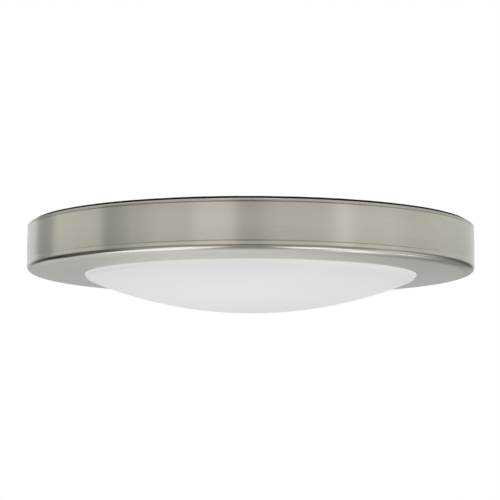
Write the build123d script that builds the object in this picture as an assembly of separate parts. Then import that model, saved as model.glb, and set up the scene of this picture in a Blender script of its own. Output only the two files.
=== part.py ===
from build123d import *
import math
import os

# Disk-shaped ceiling light that twists onto a plate on the ceiling box.
# Frame: the ceiling is the plane z = 0, the light hangs below it, and Z runs up its axis.
# Lengths are millimetres and angles are degrees.

# Trim shell, spun from sheet
OUTER_D = 190.0
FACE_DROP = 21.2
SHELL_SHEET = 0.9
FACE_EDGE_R = 2.8
REAR_EDGE_R = 1.2
REAR_LIP_W = 4.4
FACE_RING_W = 24.25

# Foam strip on the rear lip, pressed flat against the ceiling
STRIP_T = 1.1
STRIP_W = 2.8
STRIP_SETBACK = 1.1

# Lens, moulded
LENS_GAP = 0.4
LENS_WALL = 2.0
LENS_COLLAR_H = 1.5
LENS_RISE = 14.0
LENS_EDGE_R = 1.8
LENS_FLANGE_W = 9.0
LENS_FLANGE_T = 2.0
GASKET_T = 1.0
GASKET_SETBACK = 1.0

# Mounting plate, stamped from sheet
PLATE_SHEET = 1.2
PLATE_MARGIN = 4.0
WIRE_HOLE_D = 32.0
WIDE_SLOT_SPACING = 88.9
NARROW_SLOT_SPACING = 69.85
SLOT_W = 4.8
SLOT_LENGTH = 7.0

# Twist lock: headed studs on the light in keyholes of the plate
STUD_COUNT = 3
STUD_CIRCLE_D = 82.0
STUD_D = 5.0
STUD_HEAD_D = 8.4
STUD_HEAD_T = 1.6
STUD_RIM_D = 7.0
STUD_LOCKED_DEG = 40.0
TWIST_DEG = 18.0
KEYHOLE_SIDE_GAP = 0.35
KEYHOLE_ENTRY_GAP = 0.5
HEAD_SEAT_GAP = 0.3
HEAD_TOP_GAP = 1.2
POCKET_SIDE_GAP = 1.2
POCKET_EDGE_R = 1.0

# Earthing
GROUND_SCREW_D = 4.0
GROUND_HEAD_ACROSS = 6.5
GROUND_HEAD_T = 1.8
GROUND_TIP_GAP = 0.6
GROUND_WASHER_D = 8.2
GROUND_WASHER_T = 0.7
GROUND_RADIUS = 33.0
GROUND_DEG = 90.0
TAB_W = 4.8
TAB_T = 0.8
TAB_FOOT = 7.0
TAB_H = 4.0
TAB_RIVET_D = 3.0
TAB_RADIUS = 26.0
TAB_DEG = 270.0

# Heat sink and what fastens it
PLATE_TO_SINK = 3.2
SINK_T = 1.5
SINK_EDGE_GAP = 0.8
POST_COUNT = 4
POST_FIRST_DEG = 45.0
POST_D = 6.0
POST_FOOT_D = 8.0
POST_FOOT_T = 0.8
POST_GAP = 1.5
SINK_SCREW_D = 3.0
SINK_SCREW_LENGTH = 8.0
SINK_SCREW_HEAD_D = 5.6
SINK_SCREW_HEAD_T = 1.9
SCREW_HOLE_GAP = 0.3
THREAD_GAP = 0.04
PRESS_GAP = 0.04
SCREW_TIP_GAP = 0.8

# Lead bush
LEAD_HOLE_D = 8.0
GROMMET_WALL = 2.0
GROMMET_LIP = 2.2
GROMMET_LIP_T = 1.4

# Reflector ring
REFLECTOR_WALL = 1.5
REFLECTOR_SPLAY = 4.0
BOARD_EDGE_GAP = 0.5

# Board and LEDs
PAD_T = 0.5
PAD_SETBACK = 1.0
BOARD_T = 1.5
BOARD_HOLE_GAP = 0.8
LED_LENGTH = 3.5
LED_WIDTH = 2.8
LED_T = 0.7
LED_RIM = 0.35
LED_WINDOW_DEPTH = 0.3
LED_EDGE = 6.5
LED_RING_STEP = 13.0
OUTER_LED_COUNT = 24
INNER_LED_COUNT = 18
BOARD_SCREW_COUNT = 4
BOARD_SCREW_FIRST_DEG = 22.5
BOARD_SCREW_D = 3.0
BOARD_SCREW_HEAD_D = 5.0
BOARD_SCREW_HEAD_T = 1.4
BOARD_SCREW_PROUD = 0.5

# Driver parts on the board
BOARD_HOLE_MARGIN = 2.0
DRIVER_GAP = 1.5
DRIVER_FIRST_DEG = 160.0
TERMINAL_SIZE = (9.0, 10.0, 7.5)
WIRE_PORT_D = 2.6
WIRE_PORT_PITCH = 5.0
WIRE_PORT_DEPTH = 6.0
RELEASE_SLOT = (3.0, 1.2, 1.0)
CAPACITOR_D = 8.0
CAPACITOR_H = 11.0
CAPACITOR_EDGE_R = 0.8
CAPACITOR_VENT_W = 0.5
CAPACITOR_VENT_DEPTH = 0.3
RECTIFIER_SIZE = (4.0, 4.8, 2.4)
CHIP_SIZE = (4.0, 5.0, 1.5)
CHIP_LEG_COUNT = 4
CHIP_LEG_PITCH = 1.27
RECTIFIER_LEG_COUNT = 2
RECTIFIER_LEG_PITCH = 2.5
LEG_W = 0.5
LEG_T = 0.2
LEG_REACH = 1.0
VARISTOR_D = 8.5
VARISTOR_T = 3.6
VARISTOR_STAND = 1.5
VARISTOR_LEAD_D = 0.8
VARISTOR_LEAD_PITCH = 5.0
FUSE_D = 3.4
FUSE_LENGTH = 6.2
FUSE_CAP_LENGTH = 1.4
FUSE_CAP_STEP = 0.2
RESISTOR_SIZE = (1.6, 3.2, 0.6)
RESISTOR_COUNT = 6
RESISTOR_FIRST_DEG = 30.0

# Driver cover
COVER_ROOM = 2.0
COVER_WALL = 1.2
COVER_EDGE_R = 2.5
COVER_EAR_R = 4.0
COVER_EAR_T = 2.0
COVER_EAR_DEGS = (0.0, 180.0)
COVER_SCREW_D = 2.5
COVER_SCREW_HEAD_D = 4.5
COVER_SCREW_HEAD_T = 1.5
COVER_VENT_COUNT = 12
COVER_VENT_W = 1.2
COVER_VENT_LENGTH = 6.0

# Cross recess of the small screws, as shares of a head's diameter and height
RECESS_SPAN = 0.56
RECESS_SLOT = 0.16
RECESS_DEPTH = 0.6
HEAD_CROWN = 0.45

# Radii from the trim shell inwards
outer_r = OUTER_D / 2
shell_inner_r = outer_r - SHELL_SHEET
rear_bend_r = outer_r - REAR_EDGE_R
rear_mouth_r = rear_bend_r - REAR_LIP_W
strip_outer_r = rear_bend_r - STRIP_SETBACK
aperture_r = outer_r - FACE_RING_W
collar_r = aperture_r - LENS_GAP
collar_inner_r = collar_r - LENS_WALL
flange_r = aperture_r + LENS_FLANGE_W
post_circle_r = flange_r + POST_GAP + POST_FOOT_D / 2
sink_r = rear_mouth_r - SINK_EDGE_GAP
reflector_top_r = collar_inner_r - REFLECTOR_SPLAY
board_r = reflector_top_r - BOARD_EDGE_GAP
led_outer_r = board_r - LED_EDGE
led_inner_r = led_outer_r - LED_RING_STEP
board_screw_r = (led_outer_r + led_inner_r) / 2

# Heights from the ceiling downwards
shell_top_z = -STRIP_T
pocket_floor_z = -(HEAD_TOP_GAP + STUD_HEAD_T + HEAD_SEAT_GAP)
head_seat_z = pocket_floor_z + HEAD_SEAT_GAP
pocket_under_z = pocket_floor_z - PLATE_SHEET
plate_under_z = -PLATE_SHEET
sink_top_z = pocket_under_z - PLATE_TO_SINK
sink_under_z = sink_top_z - SINK_T
board_top_z = sink_under_z - PAD_T
board_under_z = board_top_z - BOARD_T

# Heights from the face upwards
face_z = -FACE_DROP
face_inner_z = face_z + SHELL_SHEET
flange_under_z = face_inner_z + GASKET_T
flange_top_z = flange_under_z + LENS_FLANGE_T
collar_end_z = face_z - LENS_COLLAR_H
lens_tip_z = collar_end_z - LENS_RISE
lens_sphere_r = (collar_r**2 + LENS_RISE**2) / (2 * LENS_RISE)
lens_centre_z = lens_tip_z + lens_sphere_r

# Plate outline and keyhole pockets
wire_hole_r = WIRE_HOLE_D / 2
stud_circle_r = STUD_CIRCLE_D / 2
stud_head_r = STUD_HEAD_D / 2
pocket_half_w = stud_head_r + POCKET_SIDE_GAP
slot_reach = WIDE_SLOT_SPACING / 2 + SLOT_LENGTH / 2
pocket_reach = stud_circle_r + pocket_half_w + PLATE_SHEET
plate_r = max(slot_reach, pocket_reach) + PLATE_MARGIN
ground_pocket_r = GROUND_WASHER_D / 2 + POCKET_SIDE_GAP

# Lead bush and the parts grouped about it
lead_r = LEAD_HOLE_D / 2
grommet_r = lead_r + GROMMET_WALL
grommet_lip_r = grommet_r + GROMMET_LIP
board_hole_r = grommet_lip_r + BOARD_HOLE_GAP

# Driver parts in a circle: each has a share of it as wide as the part, and all have their inner side on it
driver_widths = {
    "terminal": TERMINAL_SIZE[1],
    "first_chip": CHIP_SIZE[1],
    "varistor": VARISTOR_D,
    "rectifier": RECTIFIER_SIZE[1],
    "fuse": FUSE_LENGTH,
    "first_capacitor": CAPACITOR_D,
    "second_capacitor": CAPACITOR_D,
    "third_capacitor": CAPACITOR_D,
    "second_chip": CHIP_SIZE[1],
}
driver_round = sum(driver_widths.values()) + DRIVER_GAP * len(driver_widths)
driver_inner_r = max(board_hole_r + BOARD_HOLE_MARGIN, driver_round / math.tau)

# Driver cover
varistor_reach = VARISTOR_STAND + VARISTOR_D
driver_corner_r = math.hypot(driver_inner_r + TERMINAL_SIZE[0], TERMINAL_SIZE[1] / 2)
driver_outer_r = max(driver_corner_r, driver_inner_r + CAPACITOR_D)
cover_inner_r = driver_outer_r + COVER_ROOM
cover_r = cover_inner_r + COVER_WALL
cover_inside_h = max(CAPACITOR_H, varistor_reach, TERMINAL_SIZE[2]) + COVER_ROOM
cover_ear_r = cover_r + COVER_EAR_R - COVER_WALL
cover_vent_r = (driver_inner_r + driver_outer_r) / 2
resistor_r = (cover_ear_r + COVER_EAR_R + led_inner_r) / 2


def spin(*outline):
    """Solid of revolution about Z from the edges of a closed (radius, height) outline."""
    return revolve(make_face([Plane.XZ * edge for edge in outline]), Axis.Z)


def lathe(*points):
    """Solid of revolution about Z from a closed outline of (radius, height) points."""
    return spin(Polyline(*points, close=True))


def ring(inner_r, outer, bottom_z, top_z):
    """Flat ring between two radii and two heights."""
    return lathe((inner_r, bottom_z), (outer, bottom_z), (outer, top_z), (inner_r, top_z))


def rod(radius, bottom_z, top_z):
    """Upright cylinder on the Z axis between two heights."""
    return Pos(0, 0, (bottom_z + top_z) / 2) * Cylinder(radius, top_z - bottom_z)


def block(size, bottom_z):
    """Box centred on the Z axis that stands on a height."""
    return Pos(0, 0, bottom_z + size[2] / 2) * Box(*size)


def at(degrees, radius, height=0.0):
    """Place at a bearing and radius about the Z axis, turned to face outwards."""
    return Rot(0, 0, degrees) * Pos(radius, 0, height)


def bearings(count, first):
    """Evenly spaced bearings about the Z axis."""
    return [first + 360.0 * index / count for index in range(count)]


def driver_place(name, depth):
    """Place of a driver part on the underside of the board, from its share of the circle and its depth."""
    turn = 0.0
    for part, width in driver_widths.items():
        share = 360.0 * (width + DRIVER_GAP) / driver_round
        if part == name:
            return at(DRIVER_FIRST_DEG + turn + share / 2, driver_inner_r + depth / 2, board_under_z)
        turn += share
    raise KeyError(name)


def group(solids):
    """Separate equal solids kept together as one piece."""
    return Compound(children=list(solids))


def cross_screw(diameter, length, head_d, head_t):
    """Pan-head screw with a cross recess, its head standing on z = 0 and its shank below."""
    head = rod(head_d / 2, 0, head_t)
    head = fillet(head.edges().group_by(Axis.Z)[-1], head_t * HEAD_CROWN)
    depth = head_t * RECESS_DEPTH
    blade = Pos(0, 0, head_t - depth / 2) * Box(head_d * RECESS_SPAN, head_d * RECESS_SLOT, depth)
    return head + rod(diameter / 2, -length, 0) - blade - Rot(0, 0, 90) * blade


def trim_shell():
    """Spun sheet: rear lip, rolled rear edge, side band, rounded front edge and flat face ring."""
    lip_under_z = shell_top_z - SHELL_SHEET
    rear_bend_z = shell_top_z - REAR_EDGE_R
    face_bend_r = outer_r - FACE_EDGE_R
    face_bend_z = face_z + FACE_EDGE_R
    rear_bend = (rear_bend_r, rear_bend_z)
    face_bend = (face_bend_r, face_bend_z)
    return spin(
        Line((aperture_r, face_z), (face_bend_r, face_z)),
        CenterArc(face_bend, FACE_EDGE_R, 270, 90),
        Line((outer_r, face_bend_z), (outer_r, rear_bend_z)),
        CenterArc(rear_bend, REAR_EDGE_R, 0, 90),
        Line((rear_bend_r, shell_top_z), (rear_mouth_r, shell_top_z)),
        Line((rear_mouth_r, shell_top_z), (rear_mouth_r, lip_under_z)),
        Line((rear_mouth_r, lip_under_z), (rear_bend_r, lip_under_z)),
        CenterArc(rear_bend, REAR_EDGE_R - SHELL_SHEET, 0, 90),
        Line((shell_inner_r, rear_bend_z), (shell_inner_r, face_bend_z)),
        CenterArc(face_bend, FACE_EDGE_R - SHELL_SHEET, 270, 90),
        Line((face_bend_r, face_inner_z), (aperture_r, face_inner_z)),
        Line((aperture_r, face_inner_z), (aperture_r, face_z)),
    )


def shell_posts():
    """Tapped posts on the inside of the face ring, each with a welded foot."""
    hole_depth = SINK_SCREW_LENGTH - SINK_T + SCREW_TIP_GAP
    post = rod(POST_D / 2, face_inner_z, sink_under_z)
    post += rod(POST_FOOT_D / 2, face_inner_z, face_inner_z + POST_FOOT_T)
    post -= rod(SINK_SCREW_D / 2 + THREAD_GAP, sink_under_z - hole_depth, sink_under_z)
    return group(at(angle, post_circle_r) * post for angle in bearings(POST_COUNT, POST_FIRST_DEG))


def lens_gasket():
    """Flat ring between the face ring and the lens flange."""
    return ring(aperture_r + GASKET_SETBACK, flange_r, face_inner_z, flange_under_z)


def lens():
    """Opal dome on a short collar, with a flange behind the face ring."""
    inner_sphere_r = lens_sphere_r - LENS_WALL
    inner_edge_z = lens_centre_z - math.sqrt(inner_sphere_r**2 - collar_inner_r**2)
    tip = (0, lens_tip_z)
    inner_tip = (0, lens_tip_z + LENS_WALL)
    half_r = collar_r / 2
    inner_half_r = collar_inner_r / 2
    half = (half_r, lens_centre_z - math.sqrt(lens_sphere_r**2 - half_r**2))
    inner_half = (inner_half_r, lens_centre_z - math.sqrt(inner_sphere_r**2 - inner_half_r**2))
    collar_end = (collar_r, collar_end_z)
    inner_end = (collar_inner_r, inner_edge_z)
    dome = spin(
        ThreePointArc(tip, half, collar_end),
        Line(collar_end, (collar_r, flange_under_z)),
        Line((collar_r, flange_under_z), (flange_r, flange_under_z)),
        Line((flange_r, flange_under_z), (flange_r, flange_top_z)),
        Line((flange_r, flange_top_z), (collar_inner_r, flange_top_z)),
        Line((collar_inner_r, flange_top_z), inner_end),
        ThreePointArc(inner_end, inner_half, inner_tip),
        Line(inner_tip, tip),
    )
    circles = dome.edges().filter_by(GeomType.CIRCLE)
    rim = circles.sort_by(lambda circle: abs(circle.center().Z - collar_end_z))[0]
    return fillet(rim, LENS_EDGE_R)


def reflector_ring():
    """Moulded channel: splayed reflecting wall, foot on the lens flange, outer wall up to the heat sink."""
    foot_top_z = flange_top_z + REFLECTOR_WALL
    return lathe(
        (collar_inner_r, flange_top_z),
        (flange_r, flange_top_z),
        (flange_r, sink_under_z),
        (flange_r - REFLECTOR_WALL, sink_under_z),
        (flange_r - REFLECTOR_WALL, foot_top_z),
        (collar_inner_r + REFLECTOR_WALL, foot_top_z),
        (reflector_top_r + REFLECTOR_WALL, sink_under_z),
        (reflector_top_r, sink_under_z),
    )


def heat_sink():
    """Aluminium disc with its bush hole, screw holes, stud holes and earth rivet hole."""
    disc = ring(grommet_r + PRESS_GAP, sink_r, sink_under_z, sink_top_z)
    screw_hole = rod(SINK_SCREW_D / 2 + SCREW_HOLE_GAP, sink_under_z, sink_top_z)
    board_hole = rod(BOARD_SCREW_D / 2 + THREAD_GAP, sink_under_z, sink_top_z)
    stud_hole = rod(STUD_RIM_D / 2 + PRESS_GAP, sink_under_z, sink_top_z)
    rivet_hole = rod(TAB_RIVET_D / 2 + PRESS_GAP, sink_under_z, sink_top_z)
    disc -= [at(angle, post_circle_r) * screw_hole for angle in bearings(POST_COUNT, POST_FIRST_DEG)]
    disc -= [at(angle, board_screw_r) * board_hole for angle in board_screw_bearings()]
    disc -= [at(angle, stud_circle_r) * stud_hole for angle in bearings(STUD_COUNT, STUD_LOCKED_DEG)]
    return disc - at(TAB_DEG, TAB_RADIUS) * rivet_hole


def board_screw_bearings():
    """Bearings of the screws that hold the board."""
    return bearings(BOARD_SCREW_COUNT, BOARD_SCREW_FIRST_DEG)


def heat_sink_screws():
    """Screws from the back of the heat sink into the posts."""
    screw = cross_screw(SINK_SCREW_D, SINK_SCREW_LENGTH, SINK_SCREW_HEAD_D, SINK_SCREW_HEAD_T)
    places = bearings(POST_COUNT, POST_FIRST_DEG)
    return group(at(angle, post_circle_r, sink_top_z) * screw for angle in places)


def thermal_pad():
    """Soft sheet between the board and the heat sink."""
    hole = rod(BOARD_SCREW_D / 2 + SCREW_HOLE_GAP, board_top_z, sink_under_z)
    pad = ring(board_hole_r, board_r - PAD_SETBACK, board_top_z, sink_under_z)
    return pad - [at(angle, board_screw_r) * hole for angle in board_screw_bearings()]


def led_board():
    """Round board with its lead hole and screw holes."""
    screw_hole = rod(BOARD_SCREW_D / 2 + SCREW_HOLE_GAP, board_under_z, board_top_z)
    cover_hole = rod(COVER_SCREW_D / 2 + THREAD_GAP, board_under_z, board_top_z)
    board = ring(board_hole_r, board_r, board_under_z, board_top_z)
    board -= [at(angle, board_screw_r) * screw_hole for angle in board_screw_bearings()]
    return board - [at(angle, cover_ear_r) * cover_hole for angle in COVER_EAR_DEGS]


def led_places():
    """Places of the LEDs in their two rings, on the underside of the board."""
    outer = [at(angle, led_outer_r, board_under_z) for angle in bearings(OUTER_LED_COUNT, 0)]
    inner = [at(angle, led_inner_r, board_under_z) for angle in bearings(INNER_LED_COUNT, 0)]
    return outer + inner


def led_window(depth):
    """Phosphor window of one LED, flush with the underside of its package."""
    size = (LED_WIDTH - 2 * LED_RIM, LED_LENGTH - 2 * LED_RIM, depth)
    return block(size, -LED_T)


def led_packages():
    """White LED bodies with an open window."""
    package = block((LED_WIDTH, LED_LENGTH, LED_T), -LED_T) - led_window(LED_WINDOW_DEPTH)
    return group(place * package for place in led_places())


def led_phosphor():
    """Phosphor that fills the LED windows."""
    return group(place * led_window(LED_WINDOW_DEPTH) for place in led_places())


def board_screws():
    """Screws through the board and pad into the heat sink."""
    length = BOARD_T + PAD_T + SINK_T + BOARD_SCREW_PROUD
    screw = cross_screw(BOARD_SCREW_D, length, BOARD_SCREW_HEAD_D, BOARD_SCREW_HEAD_T)
    upturned = Rot(180, 0, 0) * screw
    return group(at(angle, board_screw_r, board_under_z) * upturned for angle in board_screw_bearings())


def terminal_block():
    """Push-in terminal with two wire ports facing the lead hole and two release slots."""
    body = block(TERMINAL_SIZE, -TERMINAL_SIZE[2])
    port = Rot(0, 90, 0) * Cylinder(WIRE_PORT_D / 2, WIRE_PORT_DEPTH)
    port_x = -TERMINAL_SIZE[0] / 2 + WIRE_PORT_DEPTH / 2
    slot = block(RELEASE_SLOT, -TERMINAL_SIZE[2])
    for side in (-1, 1):
        body -= Pos(port_x, side * WIRE_PORT_PITCH / 2, -TERMINAL_SIZE[2] / 2) * port
        body -= Pos(0, side * WIRE_PORT_PITCH / 2, 0) * slot
    return driver_place("terminal", TERMINAL_SIZE[0]) * body


def legged_chip(size, count, pitch):
    """Flat package under the board with bent legs on both long sides."""
    body = block(size, -size[2])
    foot = Box(LEG_REACH, LEG_W, LEG_T)
    for side in (-1, 1):
        for index in range(count):
            leg_y = (index - (count - 1) / 2) * pitch
            body += Pos(side * (size[0] + LEG_REACH) / 2, leg_y, -LEG_T / 2) * foot
    return body


def bridge_rectifier():
    """Four-legged rectifier."""
    chip = legged_chip(RECTIFIER_SIZE, RECTIFIER_LEG_COUNT, RECTIFIER_LEG_PITCH)
    return driver_place("rectifier", RECTIFIER_SIZE[0] + 2 * LEG_REACH) * chip


def driver_chips():
    """Two eight-legged current regulators."""
    chip = legged_chip(CHIP_SIZE, CHIP_LEG_COUNT, CHIP_LEG_PITCH)
    depth = CHIP_SIZE[0] + 2 * LEG_REACH
    return group(driver_place(f"{which}_chip", depth) * chip for which in ("first", "second"))


def capacitors():
    """Upright cans with a scored vent in the end."""
    can = rod(CAPACITOR_D / 2, -CAPACITOR_H, 0)
    can = fillet(can.edges().group_by(Axis.Z)[0], CAPACITOR_EDGE_R)
    score = block((CAPACITOR_D / 2, CAPACITOR_VENT_W, CAPACITOR_VENT_DEPTH), -CAPACITOR_H)
    can = can - score - Rot(0, 0, 90) * score
    order = ("first", "second", "third")
    return group(driver_place(f"{which}_capacitor", CAPACITOR_D) * can for which in order)


def varistor():
    """Coated disc that stands off the board on two leads."""
    centre_z = -VARISTOR_STAND - VARISTOR_D / 2
    disc = Pos(0, 0, centre_z) * Rot(0, 90, 0) * Cylinder(VARISTOR_D / 2, VARISTOR_T)
    lead = rod(VARISTOR_LEAD_D / 2, centre_z, 0)
    for side in (-1, 1):
        disc += Pos(0, side * VARISTOR_LEAD_PITCH / 2, 0) * lead
    return driver_place("varistor", VARISTOR_T) * disc


def fuse():
    """Fuse tube lying on the board on its two metal caps."""
    tube = Rot(90, 0, 0) * Cylinder(FUSE_D / 2 - FUSE_CAP_STEP, FUSE_LENGTH)
    cap = Rot(90, 0, 0) * Cylinder(FUSE_D / 2, FUSE_CAP_LENGTH)
    for side in (-1, 1):
        tube += Pos(0, side * (FUSE_LENGTH - FUSE_CAP_LENGTH) / 2, 0) * cap
    return driver_place("fuse", FUSE_D) * Pos(0, 0, -FUSE_D / 2) * tube


def resistors():
    """Chip resistors in a ring between the cover and the LEDs."""
    chip = block(RESISTOR_SIZE, -RESISTOR_SIZE[2])
    places = bearings(RESISTOR_COUNT, RESISTOR_FIRST_DEG)
    return group(at(angle, resistor_r, board_under_z) * chip for angle in places)


def driver_cover():
    """Cap over the live parts, with two screw ears and a ring of vents in its end."""
    end_z = board_under_z - cover_inside_h - COVER_WALL
    cap = rod(cover_r, end_z, board_under_z)
    cap = fillet(cap.edges().group_by(Axis.Z)[0], COVER_EDGE_R)
    ear = rod(COVER_EAR_R, board_under_z - COVER_EAR_T, board_under_z)
    ear_hole = rod(COVER_SCREW_D / 2 + SCREW_HOLE_GAP, board_under_z - COVER_EAR_T, board_under_z)
    cap += [at(angle, cover_ear_r) * ear for angle in COVER_EAR_DEGS]
    cap -= [at(angle, cover_ear_r) * ear_hole for angle in COVER_EAR_DEGS]
    cap -= rod(cover_inner_r, end_z + COVER_WALL, board_under_z)
    vent = block((COVER_VENT_LENGTH, COVER_VENT_W, COVER_WALL), end_z)
    return cap - [at(angle, cover_vent_r) * vent for angle in bearings(COVER_VENT_COUNT, 0)]


def cover_screws():
    """Screws through the cover's ears into the board."""
    length = COVER_EAR_T + BOARD_T
    screw = cross_screw(COVER_SCREW_D, length, COVER_SCREW_HEAD_D, COVER_SCREW_HEAD_T)
    upturned = Rot(180, 0, 0) * screw
    seat_z = board_under_z - COVER_EAR_T
    return group(at(angle, cover_ear_r, seat_z) * upturned for angle in COVER_EAR_DEGS)


def lead_grommet():
    """Rubber bush in the centre of the heat sink, with a lip on each side."""
    lip_top_z = sink_top_z + GROMMET_LIP_T
    lip_under_z = sink_under_z - GROMMET_LIP_T
    return lathe(
        (lead_r, lip_under_z),
        (grommet_lip_r, lip_under_z),
        (grommet_lip_r, sink_under_z),
        (grommet_r, sink_under_z),
        (grommet_r, sink_top_z),
        (grommet_lip_r, sink_top_z),
        (grommet_lip_r, lip_top_z),
        (lead_r, lip_top_z),
    )


def earth_tab():
    """Bent blade riveted to the heat sink."""
    foot = block((TAB_FOOT, TAB_W, TAB_T), sink_top_z)
    blade = Pos((TAB_FOOT - TAB_T) / 2, 0, 0) * block((TAB_T, TAB_W, TAB_H), sink_top_z)
    rivet = rod(TAB_RIVET_D / 2, sink_under_z, sink_top_z + TAB_T)
    return at(TAB_DEG, TAB_RADIUS) * (foot + blade + rivet)


def foam_strip():
    """Foam ring on the rear lip of the shell that closes the gap to the ceiling."""
    return ring(strip_outer_r - STRIP_W, strip_outer_r, shell_top_z, 0)


def bayonet_studs():
    """Headed studs pressed into the heat sink."""
    stud = lathe(
        (0, sink_under_z),
        (STUD_RIM_D / 2, sink_under_z),
        (STUD_RIM_D / 2, sink_top_z),
        (STUD_D / 2, sink_top_z),
        (STUD_D / 2, head_seat_z),
        (stud_head_r, head_seat_z),
        (stud_head_r, head_seat_z + STUD_HEAD_T),
        (0, head_seat_z + STUD_HEAD_T),
    )
    return group(at(angle, stud_circle_r) * stud for angle in bearings(STUD_COUNT, STUD_LOCKED_DEG))


def arc_slot(half_w, first_deg, last_deg, bottom_z, top_z):
    """Round-ended slot along the stud circle, as a solid to add or cut."""
    middle = Pos(stud_circle_r, (bottom_z + top_z) / 2)
    section = Plane.XZ * middle * Rectangle(2 * half_w, top_z - bottom_z)
    body = Rot(0, 0, first_deg) * revolve(section, Axis.Z, last_deg - first_deg)
    end = rod(half_w, bottom_z, top_z)
    return body + at(first_deg, stud_circle_r) * end + at(last_deg, stud_circle_r) * end


def mounting_plate():
    """Flat plate with keyhole pockets, an earth screw pocket, box-screw slots and a wire hole."""
    plate = ring(wire_hole_r, plate_r, plate_under_z, 0)
    open_deg = STUD_LOCKED_DEG - TWIST_DEG
    tray = arc_slot(pocket_half_w + PLATE_SHEET, open_deg, STUD_LOCKED_DEG, pocket_under_z, 0)
    tray = fillet(tray.edges().group_by(Axis.Z)[0], POCKET_EDGE_R)
    ground_cup = rod(ground_pocket_r + PLATE_SHEET, pocket_under_z, 0)
    ground_cup = fillet(ground_cup.edges().group_by(Axis.Z)[0], POCKET_EDGE_R)
    hollow = arc_slot(pocket_half_w, open_deg, STUD_LOCKED_DEG, pocket_floor_z, 0)
    stem_half_w = STUD_D / 2 + KEYHOLE_SIDE_GAP
    keyhole = arc_slot(stem_half_w, open_deg, STUD_LOCKED_DEG, pocket_under_z, pocket_floor_z)
    entry = rod(stud_head_r + KEYHOLE_ENTRY_GAP, pocket_under_z, pocket_floor_z)
    keyhole += at(open_deg, stud_circle_r) * entry
    ground_place = at(GROUND_DEG, GROUND_RADIUS)
    turns = [Rot(0, 0, angle) for angle in bearings(STUD_COUNT, 0)]
    plate += [turn * tray for turn in turns]
    plate += ground_place * ground_cup
    plate -= [turn * (hollow + keyhole) for turn in turns]
    plate -= ground_place * rod(ground_pocket_r, pocket_floor_z, 0)
    plate -= ground_place * rod(GROUND_SCREW_D / 2 + THREAD_GAP, pocket_under_z, pocket_floor_z)
    slot = extrude(SlotOverall(SLOT_LENGTH, SLOT_W), plate_under_z)
    spacings = (WIDE_SLOT_SPACING, NARROW_SLOT_SPACING)
    return plate - [Pos(side * gap / 2, 0, 0) * slot for gap in spacings for side in (-1, 1)]


def ground_screw():
    """Hexagon-head screw up through the plate's earth pocket."""
    head_z = pocket_under_z - GROUND_WASHER_T
    head = extrude(RegularPolygon(GROUND_HEAD_ACROSS / 2, 6, major_radius=False), -GROUND_HEAD_T)
    shank = rod(GROUND_SCREW_D / 2, head_z, -GROUND_TIP_GAP)
    return at(GROUND_DEG, GROUND_RADIUS) * (Pos(0, 0, head_z) * head + shank)


def ground_washer():
    """Washer between the earth screw's head and the plate."""
    washer = ring(
        GROUND_SCREW_D / 2 + SCREW_HOLE_GAP,
        GROUND_WASHER_D / 2,
        pocket_under_z - GROUND_WASHER_T,
        pocket_under_z,
    )
    return at(GROUND_DEG, GROUND_RADIUS) * washer


PIECES = (
    trim_shell,
    shell_posts,
    lens_gasket,
    lens,
    reflector_ring,
    heat_sink,
    heat_sink_screws,
    thermal_pad,
    led_board,
    led_packages,
    led_phosphor,
    board_screws,
    terminal_block,
    bridge_rectifier,
    driver_chips,
    capacitors,
    varistor,
    fuse,
    resistors,
    driver_cover,
    cover_screws,
    lead_grommet,
    earth_tab,
    foam_strip,
    bayonet_studs,
    mounting_plate,
    ground_screw,
    ground_washer,
)


os.makedirs("parts", exist_ok=True)
for piece in PIECES:
    export_step(piece(), f"parts/{piece.__name__}.step")
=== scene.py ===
import logging
import math
from dataclasses import dataclass
from enum import Enum
from typing import Any, Dict, List, Mapping, Optional, Sequence, Tuple, Union

import bmesh
import bpy
from bpy.types import Mesh, Object
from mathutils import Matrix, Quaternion, Vector


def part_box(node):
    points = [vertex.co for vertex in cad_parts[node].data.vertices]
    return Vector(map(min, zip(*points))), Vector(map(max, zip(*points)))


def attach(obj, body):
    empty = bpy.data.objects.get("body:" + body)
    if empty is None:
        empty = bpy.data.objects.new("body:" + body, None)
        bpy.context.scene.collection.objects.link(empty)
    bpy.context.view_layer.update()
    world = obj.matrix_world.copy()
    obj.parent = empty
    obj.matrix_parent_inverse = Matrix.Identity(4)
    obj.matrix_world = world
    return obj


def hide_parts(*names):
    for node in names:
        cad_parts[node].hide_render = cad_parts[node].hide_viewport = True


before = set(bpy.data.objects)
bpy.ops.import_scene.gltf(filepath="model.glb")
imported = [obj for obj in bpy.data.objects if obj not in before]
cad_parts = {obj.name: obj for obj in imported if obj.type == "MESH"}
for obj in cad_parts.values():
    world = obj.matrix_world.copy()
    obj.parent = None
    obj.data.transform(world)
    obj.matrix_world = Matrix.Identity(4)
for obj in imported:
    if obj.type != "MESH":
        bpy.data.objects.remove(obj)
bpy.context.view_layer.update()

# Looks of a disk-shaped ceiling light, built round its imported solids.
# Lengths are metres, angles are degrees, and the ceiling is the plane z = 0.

log = logging.getLogger("disk_light")

Triple = Tuple[float, float, float]
Colour = Triple
Key = Union[str, int]
Value = Union["Wire", float]
Sockets = Dict[str, Any]

WELD_DISTANCE = 1e-6
SHARP_ANGLE = 35.0
BEND_ATTRIBUTE = "bend"
HOLLOWS_PER_METRE = 170.0
NOISE_MEAN = 0.5
RAMP_MIDDLE = 0.5
HALF_TURN = 180.0
ALL_ROUND = 200.0
DEGREES_PER_RADIAN = math.degrees(1.0)


class Body(Enum):
    """Body that the new pieces ride."""

    FIXTURE = "fixture"


class Slot(Enum):
    """Names of material slots, which no piece here is given."""

    NICKEL = "brushed_nickel"
    OPAL = "opal_lens"
    SILICONE = "white_silicone"
    ZINC = "zinc_screw"
    RUBBER = "black_rubber"
    FOAM = "black_foam"


def solid(tone: Colour) -> Tuple[float, float, float, float]:
    """Return a colour with full alpha."""
    return (*tone, 1.0)


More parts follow.
